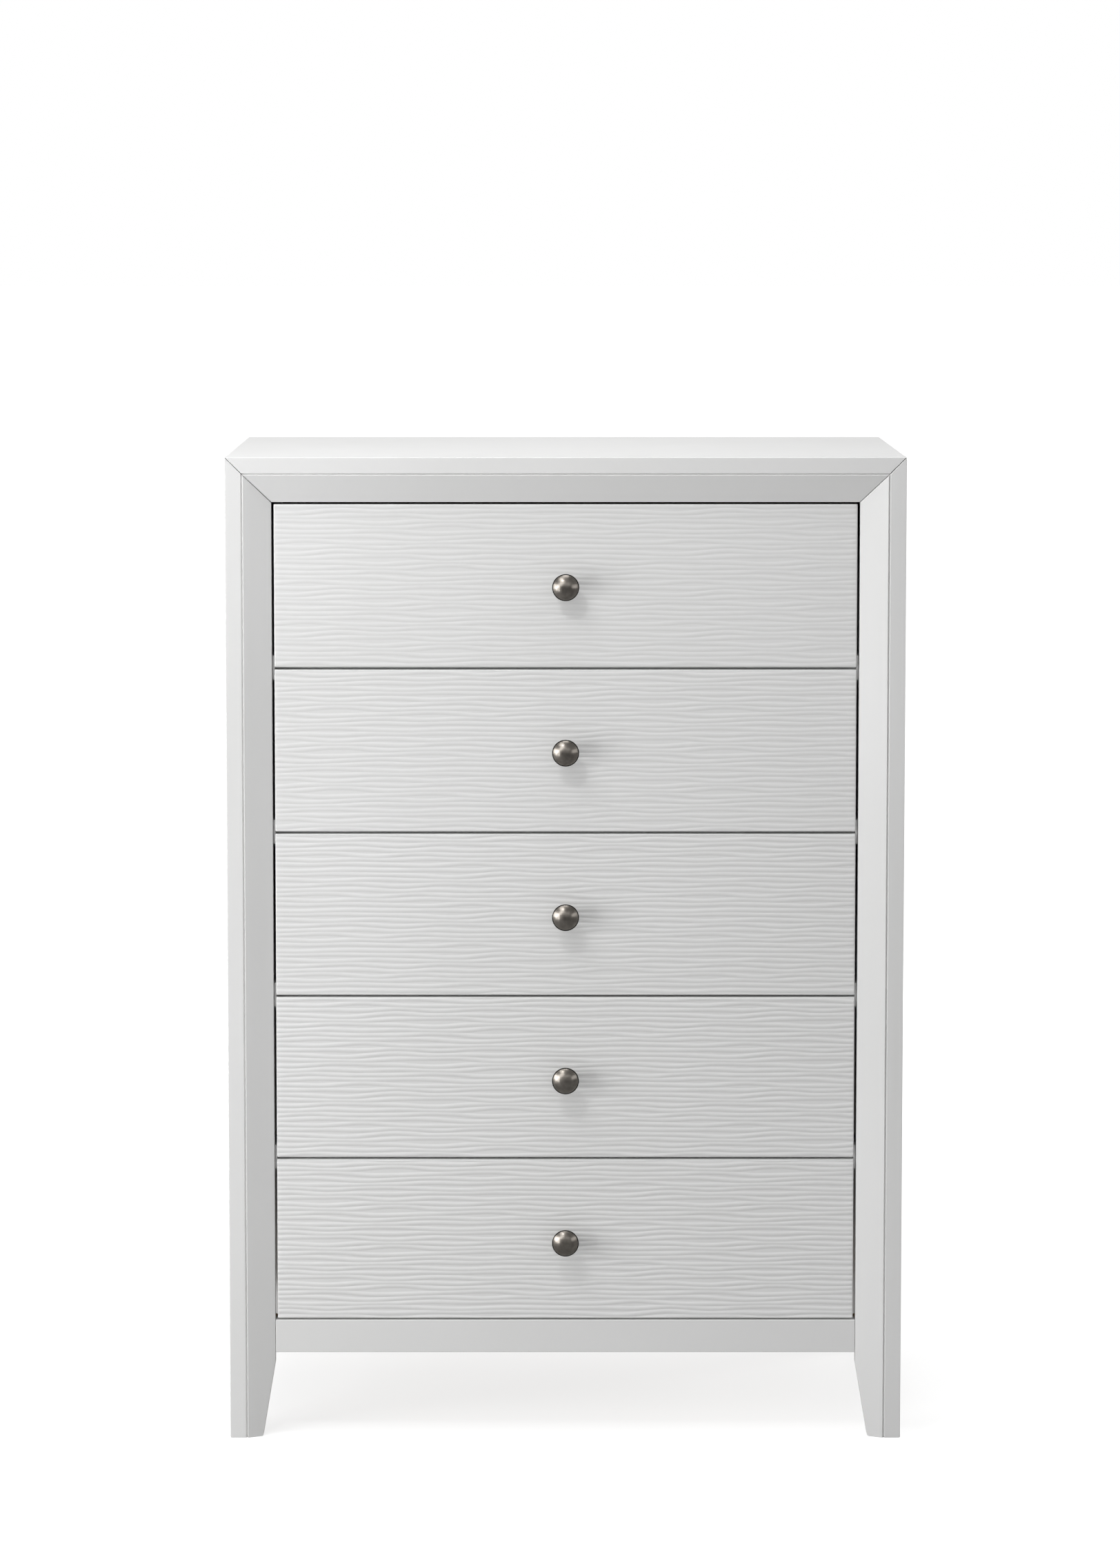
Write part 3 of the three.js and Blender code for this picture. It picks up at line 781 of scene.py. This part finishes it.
def screw_head(name, size, place, axis, body):
    """A pan head with a rounded rim and a cross recess, seated on place and facing along axis."""
    radius, height = size
    bm = bmesh.new()
    rings = []
    shares = [1.0, 1.0, 0.985, 0.95] + [0.9 * (1 - step / HEAD_RINGS) for step in range(HEAD_RINGS)]
    levels = [0.0, 0.45, 0.66, 0.78]
    for ring, share in enumerate(shares):
        row = []
        for i in range(HEAD_SEGMENTS):
            angle = 2 * math.pi * i / HEAD_SEGMENTS
            across, along = radius * share * math.cos(angle), radius * share * math.sin(angle)
            level = levels[ring] if ring < len(levels) else 1 - 0.2 * share ** 2
            level -= 0.6 * cross_recess(radius, across, along)
            row.append(bm.verts.new((across, along, height * level)))
        rings.append(row)
    for outer, inner in zip(rings, rings[1:]):
        for i in range(HEAD_SEGMENTS):
            j = (i + 1) % HEAD_SEGMENTS
            bm.faces.new((outer[i], outer[j], inner[j], inner[i]))
    bm.faces.new(rings[-1])
    bm.faces.new(rings[0][::-1])
    set_upon(bm, place, axis)
    piece = piece_from_bmesh(name, bm, 35)
    piece.data.materials.append(STEEL)
    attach(piece, body)


def washer(name, place, body):
    radius, thickness = WASHER
    hole = 2.3 * MM
    edge = 0.2 * MM
    profile = [(0.0, 0.0), (radius - edge, 0.0), (radius, edge), (radius, thickness - edge),
               (radius - edge, thickness), (hole, thickness), (0.0, thickness)]
    piece = turned(name, profile, 64, place, "+y")
    piece.data.materials.append(STEEL)
    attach(piece, body)


def prism(name, outline, start, end, ease, along="y"):
    """A bar with eased edges along y or z, from an outline of corners in the other two directions."""
    bm = bmesh.new()
    corners = {"y": lambda place, a, b: (a, place, b), "z": lambda place, a, b: (a, b, place)}[along]
    front = [bm.verts.new(corners(start, *corner)) for corner in outline]
    back = [bm.verts.new(corners(end, *corner)) for corner in outline]
    bm.faces.new(front)
    bm.faces.new(back[::-1])
    for i in range(len(outline)):
        j = (i + 1) % len(outline)
        bm.faces.new((front[j], front[i], back[i], back[j]))
    piece = piece_from_bmesh(name, bm, 35)
    bevel = piece.modifiers.new("eased_edges", "BEVEL")
    bevel.width = ease
    bevel.segments = 2
    bevel.limit_method = "ANGLE"
    return piece


def rear_bracket(number):
    """The moulded socket on the back brace that holds the rear end of a track."""
    low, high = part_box(f"drawer_track_{number}")
    brace_low, brace_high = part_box("back_brace")
    slack = 0.35 * MM
    cheek = 9.0 * MM
    base = 4.0 * MM
    rise = high.z + 6.0 * MM
    inner, outer = high.x + slack, high.x + cheek
    floor_z = low.z - slack
    outline = [(-outer, floor_z - base), (outer, floor_z - base), (outer, rise), (inner, rise),
               (inner, floor_z), (-inner, floor_z), (-inner, rise), (-outer, rise)]
    depth = 9.5 * MM
    start = brace_low.y - SEAT_GAP - depth
    bracket = prism(f"rear_bracket_{number}", outline, start, brace_low.y - SEAT_GAP, 0.7 * MM)
    bracket.data.materials.append(PLASTIC)
    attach(bracket, "case")
    for side, word in ((-1, "left"), (1, "right")):
        place = Vector((side * (inner + outer) / 2, start - SEAT_GAP, (floor_z + rise) / 2))
        screw_head(f"bracket_screw_{number}_{word}", BRACKET_SCREW, place, "-y", "case")


for number in range(1, len(DRAWERS) + 1):
    body = f"drawer_{number}"
    front_low, front_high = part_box(f"{body}_front")
    seat = Vector((0, front_high.y + SEAT_GAP, (front_low.z + front_high.z) / 2))
    washer(f"knob_washer_{number}", seat, body)
    screw_head(f"knob_screw_{number}", KNOB_SCREW, seat + Vector((0, WASHER[1], 0)), "+y", body)
    glide_low, glide_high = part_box(f"{body}_glide")
    for side, word in ((-1, "left"), (1, "right")):
        seat = Vector((side * 9.0 * MM, glide_high.y + SEAT_GAP, glide_high.z - 9.0 * MM))
        screw_head(f"glide_screw_{number}_{word}", GLIDE_SCREW, seat, "+y", body)
    track_low, track_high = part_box(f"drawer_track_{number}")
    for place, word in ((10.0 * MM, "front"), (30.0 * MM, "middle")):
        seat = Vector((0, track_low.y + place, track_high.z + SEAT_GAP))
        screw_head(f"track_screw_{number}_{word}", TRACK_SCREW, seat, "+z", "case")
    rear_bracket(number)

# Glued blocks brace the corners where the rails meet the rear legs and the front posts.
BLOCK_GAP = 0.15 * MM
BLOCK_EASE = 0.8 * MM


def corner_block(name, side, corner, reach, rail):
    """A triangular block in an upright corner, as tall as rail; reach is inwards and along y."""
    rail_bottom, rail_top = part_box(rail)
    x, y = side * (corner[0] - BLOCK_GAP), corner[1]
    outline = [(x, y), (x - side * reach[0], y), (x, y + reach[1])]
    block = prism(name, outline, rail_bottom.z + BLOCK_GAP, rail_top.z - BLOCK_GAP, BLOCK_EASE, "z")
    block.data.materials.append(UPRIGHT_HARDWOOD)
    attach(block, "case")


leg_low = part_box("rear_right_leg")[0]
post_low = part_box("front_right_post")[0]
rear_rail_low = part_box("rear_top_rail")[0]
apron_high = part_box("bottom_rail")[1]
REAR_REACH = (24.0 * MM, -16.0 * MM)
FRONT_REACH = (30.0 * MM, 26.0 * MM)
for side, word in ((-1, "left"), (1, "right")):
    rear_corner = (leg_low.x, rear_rail_low.y - BLOCK_GAP)
    front_corner = (post_low.x, apron_high.y + BLOCK_GAP)
    corner_block(f"upper_rear_block_{word}", side, rear_corner, REAR_REACH, "rear_top_rail")
    corner_block(f"lower_rear_block_{word}", side, rear_corner, REAR_REACH, "rear_stretcher")
    corner_block(f"front_block_{word}", side, front_corner, FRONT_REACH, "bottom_rail")


def staple(bm, middle, across):
    """The rounded crown of a staple lying on the back panel."""
    length, width, rise = 10.5 * MM, 1.3 * MM, 0.75 * MM
    size = (length, rise, width) if across else (width, rise, length)
    made = bmesh.ops.create_cube(bm, size=1.0)["verts"]
    bmesh.ops.scale(bm, vec=size, verts=made)
    bmesh.ops.translate(bm, vec=middle + Vector((0, rise / 2, 0)), verts=made)


panel_low, panel_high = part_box("back_panel")
STAPLE_INSET = 6.5 * MM
STAPLE_PITCH = 105.0 * MM
bm = bmesh.new()
rows = round((panel_high.z - panel_low.z - 4 * STAPLE_INSET) / STAPLE_PITCH)
for i in range(rows + 1):
    height = panel_low.z + 2 * STAPLE_INSET + (panel_high.z - panel_low.z - 4 * STAPLE_INSET) * i / rows
    for x in (panel_low.x + STAPLE_INSET, panel_high.x - STAPLE_INSET):
        staple(bm, Vector((x, panel_high.y, height)), False)
columns = round((panel_high.x - panel_low.x) / STAPLE_PITCH)
for i in range(1, columns):
    x = panel_low.x + (panel_high.x - panel_low.x) * i / columns
    for height in (panel_low.z + 3 * STAPLE_INSET, panel_high.z - 3 * STAPLE_INSET):
        staple(bm, Vector((x, panel_high.y, height)), True)
staples = piece_from_bmesh("back_staples", bm, 35)
rounding = staples.modifiers.new("rounded_crowns", "BEVEL")
rounding.width = 0.35 * MM
rounding.segments = 2
staples.data.materials.append(STEEL)
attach(staples, "case")

# ------------------------------------------------------------------ studio
FLOOR_SIZE = 120.0
half = FLOOR_SIZE / 2
floor_corners = [(-half, -half, 0), (half, -half, 0), (half, half, 0), (-half, half, 0)]
floor = link("floor", mesh_from("floor", floor_corners, [(0, 1, 2, 3)]))
floor.data.materials.append(studio_floor())
floor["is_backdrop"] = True

# Lights: place in metres, width and height, watts, turn about the line to the chest in degrees, and kind.
LIGHTS = {
    "hard_key": ((-0.56, -1.3, 2.35), (0.12, 0.12), 5.4, 0, "all"),
    "left_wall": ((-2.5, -0.8, 1.2), (0.8, 0.9), 5, 0, "all"),
    "left_side": ((-2.4, -1.2, 0.6), (0.6, 1.0), 13, 0, "all"),
    "left_front": ((-2.0, -1.6, 1.2), (0.5, 0.5), 7.4, 0, "all"),
    "left_foot": ((-1.6, -1.6, 0.3), (0.4, 0.4), 3.7, 0, "all"),
    "overhead": ((0.0, -0.2, 3.2), (1.2, 1.2), 19, 0, "all"),
    "overhead_left": ((-1.2, -1.2, 3.0), (1.0, 1.0), 14, 0, "all"),
    "right_side": ((2.7, 0.9, 0.7), (1.0, 0.9), 22, 0, "all"),
    "back_fill": ((0.4, 3.2, 0.7), (1.4, 0.9), 26, 0, "all"),
    "window_sheen": ((-1.42, -2.5, 2.5), (1.2, 2.1), 28, -40, "sheen"),
    "left_gloss": ((-2.6, -1.4, 1.1), (2.6, 1.3), 50, 0, "sheen"),
    "right_gloss": ((2.6, -1.4, 1.2), (2.2, 0.9), 12, 0, "sheen"),
    "front_gloss": ((0.0, -3.2, 2.3), (4.0, 1.0), 11, 0, "sheen"),
}
AIM = Vector((0.0, -0.2, 0.75))


def soft_box(name, place, size, power, turn, kind):
    """A soft box; one of the kind sheen shows only as a gloss on what it faces."""
    data = bpy.data.lights.new(name, "AREA")
    data.shape = "RECTANGLE"
    data.size, data.size_y = size
    data.energy = power
    lamp = bpy.data.objects.new(name, data)
    lamp.location = place
    facing = (AIM - lamp.location).to_track_quat("-Z", "Y")
    lamp.rotation_euler = (facing @ Quaternion((0, 0, 1), math.radians(turn))).to_euler()
    lamp.visible_diffuse = kind == "all"
    scene.collection.objects.link(lamp)


for name, settings in LIGHTS.items():
    soft_box(name, *settings)

# The air lights the chest softly and is seen as plain white behind it.
world = bpy.data.worlds.new("studio_air")
world.use_nodes = True
air, air_links = world.node_tree.nodes, world.node_tree.links
seen = air.new("ShaderNodeLightPath")
brightness = air.new("ShaderNodeMapRange")
brightness.inputs["To Min"].default_value = 0.42
brightness.inputs["To Max"].default_value = 1.0
air_links.new(seen.outputs["Is Camera Ray"], brightness.inputs["Value"])
air["Background"].inputs["Color"].default_value = (1, 1, 1, 1)
air_links.new(brightness.outputs["Result"], air["Background"].inputs["Strength"])
scene.world = world
scene.view_settings.view_transform = "Standard"

# ------------------------------------------------------------------ camera
CAMERA_PLACE = (-0.0276, -5.075, 1.5556)
CAMERA_TILT_DOWN = 4.570  # degrees below level
CAMERA_LENS = 91.43
CAMERA_SHIFT = (0.0107, -0.175)

camera_data = bpy.data.cameras.new("camera")
camera_data.sensor_width = 36.0
camera_data.lens = CAMERA_LENS
camera_data.shift_x, camera_data.shift_y = CAMERA_SHIFT
camera_data.clip_end = 100.0
camera = bpy.data.objects.new("camera", camera_data)
camera.location = CAMERA_PLACE
camera.rotation_euler = (math.radians(90 - CAMERA_TILT_DOWN), 0.0, 0.0)
scene.collection.objects.link(camera)
scene.camera = camera

low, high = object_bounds()
